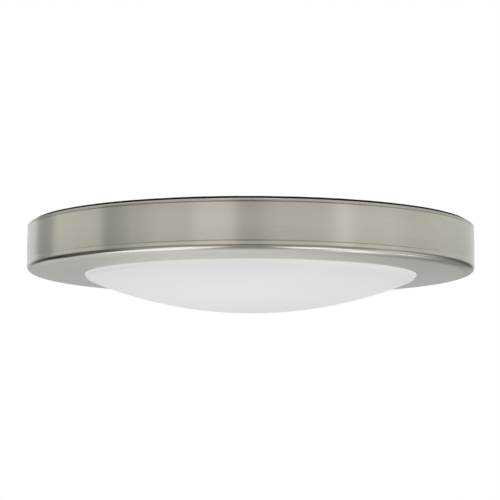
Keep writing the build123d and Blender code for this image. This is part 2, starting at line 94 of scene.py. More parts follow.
class Wire:
    """Output socket that can stand in arithmetic, which adds Math nodes."""

    def __init__(self, graph: "Graph", socket: bpy.types.NodeSocket) -> None:
        """Keep the tree and the socket."""
        self.graph = graph
        self.socket = socket

    def output(self, key: Key) -> "Wire":
        """Return another output of the same node."""
        return Wire(self.graph, self.socket.node.outputs[key])

    def __add__(self, other: Value) -> "Wire":
        """Return the sum."""
        return self.graph.maths("ADD", self, other)

    def __sub__(self, other: Value) -> "Wire":
        """Return the difference."""
        return self.graph.maths("SUBTRACT", self, other)

    def __mul__(self, other: Value) -> "Wire":
        """Return the product."""
        return self.graph.maths("MULTIPLY", self, other)

    def __truediv__(self, other: Value) -> "Wire":
        """Return the quotient."""
        return self.graph.maths("DIVIDE", self, other)

    def __rtruediv__(self, other: float) -> "Wire":
        """Return a number divided by this value."""
        return self.graph.maths("DIVIDE", other, self)

    def __pow__(self, other: Value) -> "Wire":
        """Return the power."""
        return self.graph.maths("POWER", self, other)

    __radd__ = __add__

    def span(self, low: float, high: float) -> "Wire":
        """Return the value eased from 0 at low to 1 at high."""
        inputs = {"Value": self, "From Min": low, "From Max": high}
        return self.graph.node("ShaderNodeMapRange", {"interpolation_type": "SMOOTHSTEP"}, inputs)

    def within(self, limit: float, softness: float) -> "Wire":
        """Return 1 below a limit and 0 above it, with an edge that fades over twice the softness."""
        return self.span(limit + softness, limit - softness)

    def near(self, place: float, limit: float, softness: float) -> "Wire":
        """Return 1 nearer to a place than a limit and 0 farther off, with a soft edge."""
        return self.graph.maths("ABSOLUTE", self - place).within(limit, softness)

    def swing(self, amount: float) -> "Wire":
        """Return a noise as a swing about zero."""
        return (self - NOISE_MEAN) * amount

    def blend(self, other: "Wire", share: float) -> "Wire":
        """Return this value mixed with another, which takes the given share."""
        return self * (1.0 - share) + other * share


class Graph:
    """Node tree with one method that adds any node."""

    def __init__(self, tree: bpy.types.NodeTree) -> None:
        """Keep the tree."""
        self.tree = tree

    def node(
        self,
        kind: str,
        settings: Optional[Mapping[str, Any]] = None,
        inputs: Optional[Mapping[Key, Any]] = None,
        output: Key = 0,
    ) -> Optional[Wire]:
        """Add a node, set it up and fill its sockets.

        Args:
            kind: Type of the node.
            settings: Properties, set first. "stops" holds the (place, colour) pairs of a ramp.
            inputs: Values or wires by the name or number of the socket.
            output: Name or number of the output that is wanted.

        Returns:
            The wanted output, or None if the node has no outputs.
        """
        made = self.tree.nodes.new(kind)
        for name, value in (settings or {}).items():
            if name == "stops":
                self._set_stops(made.color_ramp, value)
            else:
                setattr(made, name, value)
        for key, value in (inputs or {}).items():
            self.feed(made.inputs[key], value)
        return Wire(self, made.outputs[output]) if made.outputs else None

    def feed(self, socket: bpy.types.NodeSocket, value: Any) -> None:
        """Link a wire to a socket, or set the socket's own value."""
        if isinstance(value, Wire):
            self.tree.links.new(value.socket, socket)
        else:
            socket.default_value = value

    @staticmethod
    def _set_stops(ramp: bpy.types.ColorRamp, stops: Sequence[Tuple[float, Colour]]) -> None:
        """Give a ramp its stops, which start and end with the two that it has."""
        for _ in stops[2:]:
            ramp.elements.new(RAMP_MIDDLE)
        for element, (place, _) in zip(ramp.elements, stops):
            element.position = place
        for element, (_, tone) in zip(ramp.elements, stops):
            element.color = solid(tone)

    def maths(self, operation: str, first: Any, second: Any = 0.0) -> Wire:
        """Return the result of one Math node."""
        return self.node("ShaderNodeMath", {"operation": operation}, {0: first, 1: second})

    def combine(self, x: Any, y: Any, z: Any) -> Wire:
        """Return a vector from three values."""
        return self.node("ShaderNodeCombineXYZ", inputs={0: x, 1: y, 2: z})

    def split(self, vector: Wire) -> Tuple[Wire, Wire, Wire]:
        """Return the three values of a vector."""
        first = self.node("ShaderNodeSeparateXYZ", inputs={0: vector})
        return first, first.output(1), first.output(2)

    def mix(self, factor: Wire, first: Colour, second: Colour) -> Wire:
        """Return a colour between two colours."""
        inputs = {0: factor, 6: solid(first), 7: solid(second)}
        return self.node("ShaderNodeMix", {"data_type": "RGBA"}, inputs, output=2)

    def noise(self, vector: Wire, scale: float, detail: float = 2.0, roughness: float = 0.5) -> Wire:
        """Return a noise value about 0.5."""
        inputs = {"Vector": vector, "Scale": scale, "Detail": detail, "Roughness": roughness}
        return self.node("ShaderNodeTexNoise", inputs=inputs)

    def place(self) -> Wire:
        """Return the place on the piece, in metres."""
        return self.node("ShaderNodeTexCoord", output="Object")

    def bump(self, height: Wire, depth: float, strength: float = 1.0) -> Wire:
        """Return a normal tilted by a height from 0 to 1, which stands for a depth in metres."""
        return self.node("ShaderNodeBump", inputs={"Height": height, "Distance": depth, "Strength": strength})


def grey(value: float) -> Colour:
    """Return a grey."""
    return (value, value, value)


def add_object(name: str, data: bpy.types.ID) -> Object:
    """Return a new object that is in the scene."""
    made = bpy.data.objects.new(name, data)
    bpy.context.scene.collection.objects.link(made)
    return made


@dataclass(frozen=True)
class Finish:
    """Finish of a surface between a light and a dark tone, made of nodes on one Principled shader.

    Swing is how far a noise moves the roughness, and reach is how far the tone strays from its mean.
    """

    name: str
    light: Colour
    dark: Colour
    roughness: float
    swing: float = 0.18
    reach: float = 0.2

    def surface(self, graph: Graph) -> Sockets:
        """Return the values and wires of the shader's sockets."""
        raise NotImplementedError

    def tint(self, graph: Graph, tone: Wire) -> Wire:
        """Return the colour of a tone, which runs from dark to light within a reach about its mean."""
        return graph.mix(tone.span(NOISE_MEAN - self.reach, NOISE_MEAN + self.reach), self.dark, self.light)

    def rough(self, noise: Wire) -> Wire:
        """Return the roughness, which swings with a noise."""
        return self.roughness + noise.swing(self.swing)

    def material(self) -> bpy.types.Material:
        """Return the material of this finish, made on its first use."""
        known = bpy.data.materials.get(self.name)
        if known is not None:
            return known
        made = bpy.data.materials.new(self.name)
        made.use_nodes = True
        made.node_tree.nodes.clear()
        graph = Graph(made.node_tree)
        shader = graph.node("ShaderNodeBsdfPrincipled", inputs=self.surface(graph))
        graph.node("ShaderNodeOutputMaterial", inputs={"Surface": shader})
        return made


@dataclass(frozen=True)
class BrushedPlate(Finish):
    """Metal plate brushed round the light's axis, duller on the face ring than on the side band."""

    swing: float = 0.06
    line_width: float = 0.00035
    lines_round: float = 5.0
    line_depth: float = 0.0000005
    line_share: float = 0.25
    broad_line_rate: float = 0.22
    broad_line_relief: float = 0.4
    clouds: float = 20.0
    cloud_share: float = 0.5
    brush_pull: float = 0.5
    brush_turn: float = 0.25
    face_radius: float = 0.0927
    face_edge: float = 0.0012
    face_dulling: float = 0.12

    def surface(self, graph: Graph) -> Sockets:
        """Return the sockets: fine lines round the axis, with soft cloudy patches in the plate."""
        place = graph.place()
        x, y, z = graph.split(place)
        radius = (x * x + y * y) ** 0.5
        across = (radius - z) / self.line_width
        along = self.lines_round / radius
        fine_place = graph.combine(x * along, y * along, across)
        broad_place = graph.combine(x * along, y * along, across * self.broad_line_rate)
        fine = graph.noise(fine_place, 1.0, detail=3.0, roughness=0.6)
        broad = graph.noise(broad_place, 1.0)
        cloud = graph.noise(place, self.clouds)
        tone = fine * self.line_share + broad * self.line_share + cloud * self.cloud_share
        face = radius.within(self.face_radius, self.face_edge)
        return {
            "Base Color": self.tint(graph, tone),
            "Metallic": 1.0,
            "Roughness": self.rough(tone) + face * self.face_dulling,
            "Anisotropic": self.brush_pull,
            "Anisotropic Rotation": self.brush_turn,
            "Normal": graph.bump(fine.blend(broad, self.broad_line_relief), self.line_depth),
        }


@dataclass(frozen=True)
class OpalMoulding(Finish):
    """White opal moulding with a satin skin and a painted glow that stands in for the light and shade on it.
    """

    swing: float = 0.12
    reach: float = 0.25
    clouds: float = 14.0
    grain: float = 1400.0
    depth: float = 0.000004
    refraction: float = 1.49
    glow: float = 0.42
    glow_tint: Colour = (0.95, 1.0, 0.975)
    # Painted light and shade: glow level by height, from the tip (0) to the collar (1).
    painted_glow_stops: Tuple[Tuple[float, float], ...] = (
        (0.0, 0.38), (0.07, 0.44), (0.35, 0.52), (0.65, 0.485),
        (0.80, 0.44), (0.855, 0.455), (0.876, 0.50), (0.902, 0.625),
        (0.932, 0.765), (0.968, 0.88), (1.0, 0.955),
    )
    tip_height: float = -0.0367
    glow_height: float = 0.0155

    def surface(self, graph: Graph) -> Sockets:
        """Return the sockets: a fine satin grain, faint clouds and a painted glow, graded from tip to collar,
        that paints the lens's light and shade.
        """
        place = graph.place()
        _, _, z = graph.split(place)
        height = (z - self.tip_height) / self.glow_height
        red, green, blue = self.glow_tint
        stops = [(share, (red * value, green * value, blue * value)) for share, value in self.painted_glow_stops]
        # Painted light: the emission is graded by height to paint the lens's shading.
        glow = graph.node("ShaderNodeValToRGB", {"stops": stops}, {0: height})
        cloud = graph.noise(place, self.clouds)
        grain = graph.noise(place, self.grain)
        return {
            "Base Color": self.tint(graph, cloud),
            "Roughness": self.rough(grain),
            "IOR": self.refraction,
            "Emission Color": glow,
            "Emission Strength": self.glow,
            "Normal": graph.bump(grain, self.depth),
        }


@dataclass(frozen=True)
class Moulded(Finish):
    """Moulded or cast material with a fine grain: plastic, rubber, ceramic or resin."""

    grain: float = 900.0
    depth: float = 0.00001
    grain_share: float = 0.4
    patches: float = 60.0
    coat: float = 0.0

    def surface(self, graph: Graph) -> Sockets:
        """Return the sockets: grain in the skin and soft patches in the tone."""
        place = graph.place()
        patch = graph.noise(place, self.patches, detail=3.0)
        grain = graph.noise(place, self.grain, detail=3.0, roughness=0.6)
        return {
            "Base Color": self.tint(graph, patch.blend(grain, self.grain_share)),
            "Roughness": self.rough(grain),
            "Coat Weight": self.coat,
            "Normal": graph.bump(grain, self.depth),
        }


@dataclass(frozen=True)
class Plated(Finish):
    """Plated metal of small parts, with soft mottling."""

    swing: float = 0.3
    reach: float = 0.18
    mottle: float = 700.0
    patch_rate: float = 0.12
    patch_share: float = 0.5
    depth: float = 0.000004

    def surface(self, graph: Graph) -> Sockets:
        """Return the sockets: mottled plate with a little unevenness."""
        place = graph.place()
        mottle = graph.noise(place, self.mottle, detail=4.0, roughness=0.6)
        patch = graph.noise(place, self.mottle * self.patch_rate)
        tone = mottle.blend(patch, self.patch_share)
        return {
            "Base Color": self.tint(graph, tone),
            "Metallic": 1.0,
            "Roughness": self.rough(tone),
            "Normal": graph.bump(mottle, self.depth),
        }


@dataclass(frozen=True)
class RolledSheet(Finish):
    """Mill-finish sheet with the rolling grain along X."""

    swing: float = 0.22
    line_swing: float = 0.16
    grain_along: float = 45.0
    grain_across: float = 2600.0
    clouds: float = 30.0
    cloud_share: float = 0.4
    depth: float = 0.000003

    def surface(self, graph: Graph) -> Sockets:
        """Return the sockets: long rolling lines and dull clouds."""
        place = graph.place()
        x, y, z = graph.split(place)
        rolling = graph.combine(x * self.grain_along, y * self.grain_across, z * self.grain_across)
        lines = graph.noise(rolling, 1.0, detail=4.0, roughness=0.65)
        cloud = graph.noise(place, self.clouds, detail=4.0)
        return {
            "Base Color": self.tint(graph, lines.blend(cloud, self.cloud_share)),
            "Metallic": 1.0,
            "Roughness": self.rough(cloud) + lines.swing(self.line_swing),
            "Normal": graph.bump(lines, self.depth),
        }


@dataclass(frozen=True)
class Galvanised(Finish):
    """Zinc-dipped sheet with crystal spangles."""

    swing: float = 0.22
    reach: float = 0.4
    fern_swing: float = 0.12
    spangles: float = 190.0
    seam_width: float = 0.12
    warp_scale: float = 320.0
    warp: float = 0.004
    ferns: float = 1500.0
    fern_share: float = 0.4
    fern_relief: float = 0.3
    depth: float = 0.000006

    def surface(self, graph: Graph) -> Sockets:
        """Return the sockets: crystals of different tone and gloss, with fern-like lines inside."""
        place = graph.place()
        shift = graph.noise(place, self.warp_scale).output("Color")
        shifted = {0: shift, 1: (self.warp, self.warp, self.warp), 2: place}
        warped = graph.node("ShaderNodeVectorMath", {"operation": "MULTIPLY_ADD"}, shifted)
        cells = {"Vector": warped, "Scale": self.spangles}
        cell = graph.node("ShaderNodeTexVoronoi", inputs=cells, output="Color")
        edge = graph.node("ShaderNodeTexVoronoi", {"feature": "DISTANCE_TO_EDGE"}, cells)
        crystal = graph.node("ShaderNodeSeparateColor", inputs={0: cell})
        fern = graph.noise(place, self.ferns, detail=4.0, roughness=0.7)
        relief = edge.span(0.0, self.seam_width).blend(fern, self.fern_relief)
        return {
            "Base Color": self.tint(graph, crystal.blend(fern, self.fern_share)),
            "Metallic": 1.0,
            "Roughness": self.rough(crystal) + fern.swing(self.fern_swing),
            "Normal": graph.bump(relief, self.depth),
        }


@dataclass(frozen=True)
class FoamCells(Finish):
    """Closed-cell foam with a cut face."""

    swing: float = 0.12
    gloss: float = 0.25
    cells: float = 2600.0
    cell_depth: float = 0.00012
    relief: float = 0.6
    wall_start: float = 0.1
    wall_end: float = 0.6
    patches: float = 300.0
    patch_share: float = 0.3

    def surface(self, graph: Graph) -> Sockets:
        """Return the sockets: small open cells, with painted shade that darkens their hollows."""
        place = graph.place()
        cell = graph.node("ShaderNodeTexVoronoi", inputs={"Vector": place, "Scale": self.cells})
        wall = cell.span(self.wall_start, self.wall_end)
        patch = graph.noise(place, self.patches)
        return {
            # Painted shade: the colour darkens towards the middle of each cell, where its hollow lies.
            "Base Color": graph.mix(wall.blend(patch, self.patch_share), self.dark, self.light),
            "Roughness": self.roughness + wall * self.swing,
            "Specular IOR Level": self.gloss,
            "Normal": graph.bump(wall, self.cell_depth, self.relief),
        }


@dataclass(frozen=True)
class PaleFloor(Finish):
    """Pale studio floor."""

    clouds: float = 1.4
    glow: float = 0.35

    def surface(self, graph: Graph) -> Sockets:
        """Return the sockets: nearly even, with faint clouds and a little light of its own."""
        tone = graph.mix(graph.noise(graph.place(), self.clouds, detail=4.0), self.dark, self.light)
        return {
            "Base Color": tone,
            "Roughness": self.roughness,
            "Emission Color": tone,
            "Emission Strength": self.glow,
        }


NICKEL = BrushedPlate("nickel_brushed_round", (0.665, 0.645, 0.58), (0.61, 0.59, 0.528), 0.19)
OPAL = OpalMoulding("opal_satin", (0.795, 0.80, 0.80), (0.775, 0.78, 0.78), 0.42)
SILICONE = Moulded("silicone_white", (0.86, 0.86, 0.84), (0.80, 0.80, 0.78), 0.55)
WHITE_PLASTIC = Moulded("moulding_white", (0.90, 0.90, 0.885), (0.84, 0.84, 0.82), 0.45)
ALUMINIUM = RolledSheet("aluminium_mill", (0.83, 0.84, 0.85), (0.70, 0.71, 0.72), 0.36)
ZINC = Plated("zinc_clear", (0.78, 0.79, 0.80), (0.62, 0.635, 0.655), 0.34)
PAD = Moulded("thermal_pad_grey", (0.50, 0.52, 0.55), (0.40, 0.42, 0.45), 0.75, grain=1600.0, depth=0.00002)
MASK = Moulded("solder_mask_white", (0.91, 0.91, 0.90), (0.86, 0.86, 0.84), 0.35, coat=0.4)
LED_WHITE = Moulded("led_body_white", (0.92, 0.92, 0.90), (0.86, 0.86, 0.83), 0.4)
PHOSPHOR = Moulded("led_phosphor_yellow", (0.92, 0.74, 0.20), (0.84, 0.62, 0.12), 0.5, grain=2500.0)
EPOXY = Moulded("epoxy_black", (0.045, 0.045, 0.05), (0.025, 0.025, 0.028), 0.6, grain=2200.0)
SLEEVE = Moulded("can_sleeve_dark", (0.06, 0.07, 0.10), (0.04, 0.045, 0.07), 0.3, grain=500.0, coat=0.3)
BLUE_COAT = Moulded("coat_blue", (0.10, 0.21, 0.50), (0.07, 0.15, 0.40), 0.35, grain=400.0, coat=0.4)
CERAMIC = Moulded("ceramic_cream", (0.80, 0.76, 0.66), (0.72, 0.68, 0.57), 0.45, grain=1200.0)
RUBBER = Moulded("rubber_black", grey(0.045), grey(0.028), 0.62, grain=1200.0, depth=0.00003)
TIN = Plated("tin_on_brass", (0.80, 0.785, 0.73), (0.66, 0.645, 0.58), 0.32)
FOAM = FoamCells("foam_black", (0.030, 0.030, 0.028), grey(0.010), 0.82)
GALVANISED = Galvanised("zinc_dipped_sheet", (0.74, 0.76, 0.77), (0.55, 0.57, 0.59), 0.40)
GREEN = Plated("green_passivate", (0.10, 0.42, 0.20), (0.05, 0.28, 0.12), 0.38)
FLOOR = PaleFloor("floor_pale", (0.90, 0.90, 0.89), (0.86, 0.86, 0.85), 0.9)

NODE_FINISHES = {
    "shell_posts": ZINC,
    "reflector_ring": WHITE_PLASTIC,
    "heat_sink": ALUMINIUM,
    "thermal_pad": PAD,
    "led_board": MASK,
    "led_packages": LED_WHITE,
    "led_phosphor": PHOSPHOR,
    "board_screws": ZINC,
    "terminal_block": WHITE_PLASTIC,
    "bridge_rectifier": EPOXY,
    "driver_chips": EPOXY,
    "capacitors": SLEEVE,
    "varistor": BLUE_COAT,
    "fuse": CERAMIC,
    "resistors": EPOXY,
    "driver_cover": WHITE_PLASTIC,
    "cover_screws": ZINC,
    "earth_tab": TIN,
    "mounting_plate": GALVANISED,
    "ground_screw": GREEN,
    "ground_washer": ZINC,
}


@dataclass(frozen=True)
class Corner:
    """Corner of an outline that is spun about Z, with the radius of its bend."""

    radius: float
    height: float
    bend: float = 0.0


def flat_ring(inner: float, outer: float, low: float, high: float, bend: float) -> List[Corner]:
    """Return the outline of a ring with an oblong section, whose four edges are rounded."""
    places = ((inner, low), (outer, low), (outer, high), (inner, high))
    return [Corner(radius, height, bend) for radius, height in places]


class Recipe(Graph):
    """Geometry Nodes tree whose sizes are named inputs."""

    def __init__(self, name: str, measures: Sequence[str], counts: Sequence[str] = ()) -> None:
        """Start a tree, which also has an input for its finish.

        Args:
            name: Name of the tree.
            measures: Names of the inputs that hold a length or an angle.
            counts: Names of the inputs that hold a whole number.
        """
        super().__init__(bpy.data.node_groups.new(name, "GeometryNodeTree"))
        face = self.tree.interface
        face.new_socket("Geometry", in_out="INPUT", socket_type="NodeSocketGeometry")
        face.new_socket("Geometry", in_out="OUTPUT", socket_type="NodeSocketGeometry")
        kinds = {"Finish": "NodeSocketMaterial"}
        kinds.update(dict.fromkeys(measures, "NodeSocketFloat"))
        kinds.update(dict.fromkeys(counts, "NodeSocketInt"))
        self.sockets: Dict[str, str] = {}
        for label, kind in kinds.items():
            self.sockets[label] = face.new_socket(label, in_out="INPUT", socket_type=kind).identifier
        self.start = self.node("NodeGroupInput")

    def size(self, label: str) -> Wire:
        """Return a named input."""
        return self.start.output(label)

    def close(self, geometry: Wire) -> None:
        """End the tree with real geometry in its finish."""
        real = self.node("GeometryNodeRealizeInstances", inputs={"Geometry": geometry})
        dress = {"Geometry": real, "Material": self.size("Finish")}
        dressed = self.node("GeometryNodeSetMaterial", inputs=dress)
        self.node("NodeGroupOutput", inputs={0: dressed})

    def run(self, base: Mesh, finish: Finish, sizes: Mapping[str, float]) -> Mesh:
        """Run the tree on a mesh.

        Args:
            base: Mesh that the tree starts from.
            finish: Finish of the result.
            sizes: Value of each measure and count.

        Returns:
            The result as a plain mesh.
        """
        holder = add_object(base.name, base)
        modifier = holder.modifiers.new(self.tree.name, "NODES")
        modifier.node_group = self.tree
        modifier[self.sockets["Finish"]] = finish.material()
        for label, value in sizes.items():
            modifier[self.sockets[label]] = value
        depsgraph = bpy.context.evaluated_depsgraph_get()
        made = bpy.data.meshes.new_from_object(holder.evaluated_get(depsgraph), depsgraph=depsgraph)
        bpy.data.objects.remove(holder)
        return made


class SpinRecipe(Recipe):
    """Tree that rounds an outline's corners and spins it about Z."""

    def __init__(self) -> None:
        """Build the tree."""
        super().__init__("spin_outline", ("Guide Radius", "Unevenness"), ("Steps Round", "Steps Per Bend"))
        bend = self.node("GeometryNodeInputNamedAttribute", {"data_type": "FLOAT"}, {"Name": BEND_ATTRIBUTE})
        line = self.node("GeometryNodeMeshToCurve", inputs={0: self.size("Geometry")})
        fillet = {"Curve": line, "Count": self.size("Steps Per Bend"), "Radius": bend, "Limit Radius": True}
        rounded = self.node("GeometryNodeFilletCurve", {"mode": "POLY"}, fillet)
        circle = {"Resolution": self.size("Steps Round"), "Radius": self.size("Guide Radius")}
        guide = self.node("GeometryNodeCurvePrimitiveCircle", inputs=circle)
        swept = self.node("GeometryNodeCurveToMesh", inputs={"Curve": guide, "Profile Curve": rounded})
        weld = {"Geometry": swept, "Distance": WELD_DISTANCE}
        welded = self.node("GeometryNodeMergeByDistance", inputs=weld)
        self.close(self._uneven(welded))

    def _uneven(self, geometry: Wire) -> Wire:
        """Return the surface drawn in here and there by up to the set unevenness."""
        spot = self.node("GeometryNodeInputPosition")
        hollow = self.noise(spot, HOLLOWS_PER_METRE, detail=3.0) * self.size("Unevenness")
        normal = self.node("GeometryNodeInputNormal")
        inward = self.node("ShaderNodeVectorMath", {"operation": "SCALE"}, {0: normal, "Scale": hollow})
        return self.node("GeometryNodeSetPosition", inputs={"Geometry": geometry, "Offset": inward})

    def spin(
        self,
        name: str,
        corners: Sequence[Corner],
        finish: Finish,
        closed: bool = True,
        steps_round: int = 256,
        steps_per_bend: int = 10,
        unevenness: float = 0.0,
    ) -> Mesh:
        """Spin an outline about Z.

        Args:
            name: Name of the mesh.
            corners: Outline, from corner to corner.
            finish: Finish of the surface.
            closed: Whether the last corner is joined to the first.
            steps_round: Steps in a full turn.
            steps_per_bend: Steps in each rounded corner.
            unevenness: Most that the surface is drawn in.

        Returns:
            The spun mesh.
        """
        guide_radius = max(corner.radius for corner in corners)
        places = [(corner.radius - guide_radius, -corner.height, 0.0) for corner in corners]
        edges = [(index, index + 1) for index in range(len(corners) - 1)]
        if closed:
            edges.append((len(corners) - 1, 0))
        outline = bpy.data.meshes.new(name)
        outline.from_pydata(places, edges, [])
        bends = outline.attributes.new(BEND_ATTRIBUTE, "FLOAT", "POINT")
        for index, corner in enumerate(corners):
            bends.data[index].value = corner.bend
        sizes = {
            "Guide Radius": guide_radius,
            "Steps Round": steps_round,
            "Steps Per Bend": steps_per_bend,
            "Unevenness": unevenness,
        }
        return self.run(outline, finish, sizes)


class RecessRecipe(Recipe):
    """Tree that cuts a cross recess into the top of a screw's head."""

    def __init__(self) -> None:
        """Build the tree."""
        super().__init__("cross_recess", ("Recess Span", "Recess Width", "Recess Depth", "Head Top"))
        # The blade is centred on the top of the head, so half of its height cuts.
        height = self.size("Recess Depth") * 2.0
        size = self.combine(self.size("Recess Span"), self.size("Recess Width"), height)
        blade = self.node("GeometryNodeMeshCube", inputs={"Size": size})
        place = self.combine(0.0, 0.0, self.size("Head Top"))
        cut = self.size("Geometry")
        for turn in (0.0, 90.0):
            move = {"Geometry": blade, "Translation": place, "Rotation": (0.0, 0.0, math.radians(turn))}
            placed = self.node("GeometryNodeTransform", inputs=move)
            pair = {"Mesh 1": cut, "Mesh 2": placed}
            cut = self.node("GeometryNodeMeshBoolean", {"operation": "DIFFERENCE"}, pair)
        self.close(cut)


class RingRecipe(Recipe):
    """Tree that sets copies of one part evenly on a circle about Z."""

    def __init__(self) -> None:
        """Build the tree."""
        super().__init__("ring_of_parts", ("Circle Radius", "First Bearing"), ("Count",))
        points = {"Vertices": self.size("Count"), "Radius": self.size("Circle Radius")}
        circle = self.node("GeometryNodeMeshCircle", inputs=points)
        turn = {"Geometry": circle, "Rotation": self.combine(0.0, 0.0, self.size("First Bearing"))}
        turned = self.node("GeometryNodeTransform", inputs=turn)
        x, y, _ = self.split(self.node("GeometryNodeInputPosition"))
        facing = self.combine(0.0, 0.0, self.maths("ARCTAN2", y, x))
        rotation = self.node("FunctionNodeEulerToRotation", inputs={0: facing})
        copies = {"Points": turned, "Instance": self.size("Geometry"), "Rotation": rotation}
        self.close(self.node("GeometryNodeInstanceOnPoints", inputs=copies))


def add_piece(
    name: str,
    mesh: Mesh,
    nodes: Sequence[str],
    crisp: bool = False,
    body: Body = Body.FIXTURE,
) -> Object:
    """Put a finished mesh into the scene as a piece of the light.

    Args:
        name: Name of the piece.
        mesh: Plain mesh with its finish.
        nodes: Nodes that it stands for.
        crisp: Whether it has sharp edges beside its rounded ones.
        body: Body that it moves with.

    Returns:
        The piece's object.
    """
    shell = bmesh.new()
    shell.from_mesh(mesh)
    bmesh.ops.remove_doubles(shell, verts=shell.verts, dist=WELD_DISTANCE)
    bmesh.ops.recalc_face_normals(shell, faces=shell.faces)
    shell.to_mesh(mesh)
    shell.free()
    mesh.polygons.foreach_set("use_smooth", [True] * len(mesh.polygons))
    if crisp:
        mesh.set_sharp_from_angle(angle=math.radians(SHARP_ANGLE))
    mesh.name = name
    piece = add_object(name, mesh)
    even = piece.modifiers.new("flat_faces_stay_flat", "WEIGHTED_NORMAL")
    even.keep_sharp = True
    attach(piece, body.value)
    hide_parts(*nodes)
    log.info("%s: %d faces, rides %s, stands for %s", name, len(mesh.polygons), body.value, ", ".join(nodes))
    return piece


@dataclass
class TrimShell:
    """Spun nickel shell: rear lip and edge, side band between two fine rims, rolled front edge, face ring."""

    spinner: SpinRecipe
    sheet: float = 0.0009
    rear_edge_bend: float = 0.00075
    front_edge_bend: float = 0.002
    face_roll_rise: float = 0.0015
    face_roll_width: float = 0.0028
    face_roll_bend: float = 0.0078
    rear_mouth_radius: float = 0.0894
    aperture_radius: float = 0.07075
    margin_radius: float = 0.0795
    margin_fall: float = 0.00026
    margin_bend: float = 0.27
    cut_edge_bend: float = 0.00022
    front_rim_top: float = 0.00385
    front_rim_rise: float = 0.00006
    rear_rim_foot: float = 0.00087
    rear_rim_rise: float = 0.00009
    rim_slope: float = 0.00055
    rim_bend: float = 0.004
    band_crown: float = 0.0002
    band_bend: float = 0.5

    def build(self) -> Object:
        """Spin the sheet and return its piece."""
        low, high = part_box("trim_shell")
        inner, rear_under = high.x - self.sheet, high.z - self.sheet
        roll = math.atan2(self.face_roll_rise, self.face_roll_width)
        # The sheet is even, so the inside of each corner lies on the line that halves the corner.
        inner_edge = low.z + self.face_roll_rise + self.sheet * math.tan(math.pi / 4.0 - roll / 2.0)
        inner_roll = high.x - self.face_roll_width - self.sheet * math.tan(roll / 2.0)
        mouth = low.z - self.margin_fall
        corners = [
            Corner(self.aperture_radius, mouth, self.cut_edge_bend),
            Corner(self.margin_radius, low.z, self.margin_bend),
            *self._outside(high.x, low.z, high.z),
            Corner(self.rear_mouth_radius, high.z, self.cut_edge_bend),
            Corner(self.rear_mouth_radius, rear_under, self.cut_edge_bend),
            Corner(inner, rear_under, self.cut_edge_bend),
            Corner(inner, inner_edge, self.front_edge_bend - self.sheet),
            Corner(inner_roll, low.z + self.sheet, self.face_roll_bend - self.sheet),
            Corner(self.margin_radius, low.z + self.sheet, self.margin_bend),
            Corner(self.aperture_radius, mouth + self.sheet, self.cut_edge_bend),
        ]
        mesh = self.spinner.spin("trim_shell_spun", corners, NICKEL, steps_round=320, steps_per_bend=14)
        return add_piece("trim_shell_spun", mesh, ["trim_shell"])

    def _outside(self, outer: float, face: float, rear: float) -> List[Corner]:
        """Return the side of the shell from the roll of its face up to its rear edge.

        Args:
            outer: Largest radius, at the middle of the band.
            face: Height of the face ring.
            rear: Height of the rear lip.

        Returns:
            Corners of the rolled front edge, the rims, the slightly crowned band and the rear edge.
        """
        band = outer - self.band_crown / 2.0
        front_rim, rear_rim = band + self.front_rim_rise, band + self.rear_rim_rise
        front_rim_top, rear_rim_foot = face + self.front_rim_top, rear - self.rear_rim_foot
        band_foot, band_top = front_rim_top + self.rim_slope, rear_rim_foot - self.rim_slope
        return [
            Corner(front_rim - self.face_roll_width, face, self.face_roll_bend),
            Corner(front_rim, face + self.face_roll_rise, self.front_edge_bend),
            Corner(front_rim, front_rim_top, self.rim_bend),
            Corner(band, band_foot, self.rim_bend),
            Corner(band + self.band_crown, (band_foot + band_top) / 2.0, self.band_bend),
            Corner(band, band_top, self.rim_bend),
            Corner(rear_rim, rear_rim_foot, self.rim_bend),
            Corner(rear_rim, rear, self.rear_edge_bend),
        ]


@dataclass
class Lens:
    """Opal dome with a rounded shoulder and a short collar, its flange and the seal under the flange."""

    spinner: SpinRecipe
    dome_bend: float = 0.1838
    shoulder_bend: float = 0.003
    shoulder_start: float = 0.0685
    wall: float = 0.002
    flange_thickness: float = 0.002
    moulded_bend: float = 0.0004
    dome_steps: int = 32
    shoulder_steps: int = 12
    seal_inner: float = 0.07175
    seal_bend: float = 0.0003

    def build(self) -> List[Object]:
        """Make the dome and its seal and return the two pieces."""
        low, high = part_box("lens")
        flange_under = high.z - self.flange_thickness
        corners = [
            *self._curve(low.z, flange_under),
            Corner(high.x, flange_under, self.moulded_bend),
            Corner(high.x, high.z, self.moulded_bend),
            *reversed(self._curve(low.z, high.z, self.wall)),
        ]
        dome = self.spinner.spin("lens_dome", corners, OPAL, closed=False)
        seal_low, seal_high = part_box("lens_gasket")
        seal_corners = flat_ring(self.seal_inner, seal_high.x, seal_low.z, seal_high.z, self.seal_bend)
        seal = self.spinner.spin("lens_seal", seal_corners, SILICONE, steps_round=128, steps_per_bend=5)
        return [
            add_piece("lens_dome", dome, ["lens"]),
            add_piece("lens_seal", seal, ["lens_gasket"]),
        ]

    def _curve(self, tip: float, end: float, inset: float = 0.0) -> List[Corner]:
        """Return the curve of the dome, its shoulder and its collar.

        Args:
            tip: Height of the outer tip.
            end: Height where the collar ends.
            inset: How far this curve lies inside the outer one.

        Returns:
            Corners on the curve, the first on the axis.
        """
        dome, shoulder = self.dome_bend - inset, self.shoulder_bend - inset
        centre = tip + self.dome_bend
        turn = math.asin(self.shoulder_start / self.dome_bend)
        offset = self.dome_bend - self.shoulder_bend
        shoulder_radius, shoulder_centre = offset * math.sin(turn), centre - offset * math.cos(turn)
        curve = []
        for step in range(self.dome_steps):
            angle = turn * step / self.dome_steps
            curve.append(Corner(dome * math.sin(angle), centre - dome * math.cos(angle)))
        for step in range(self.shoulder_steps + 1):
            angle = turn + (math.pi / 2.0 - turn) * step / self.shoulder_steps
            radius = shoulder_radius + shoulder * math.sin(angle)
            curve.append(Corner(radius, shoulder_centre - shoulder * math.cos(angle)))
        curve.append(Corner(shoulder_radius + shoulder, end))
        return curve


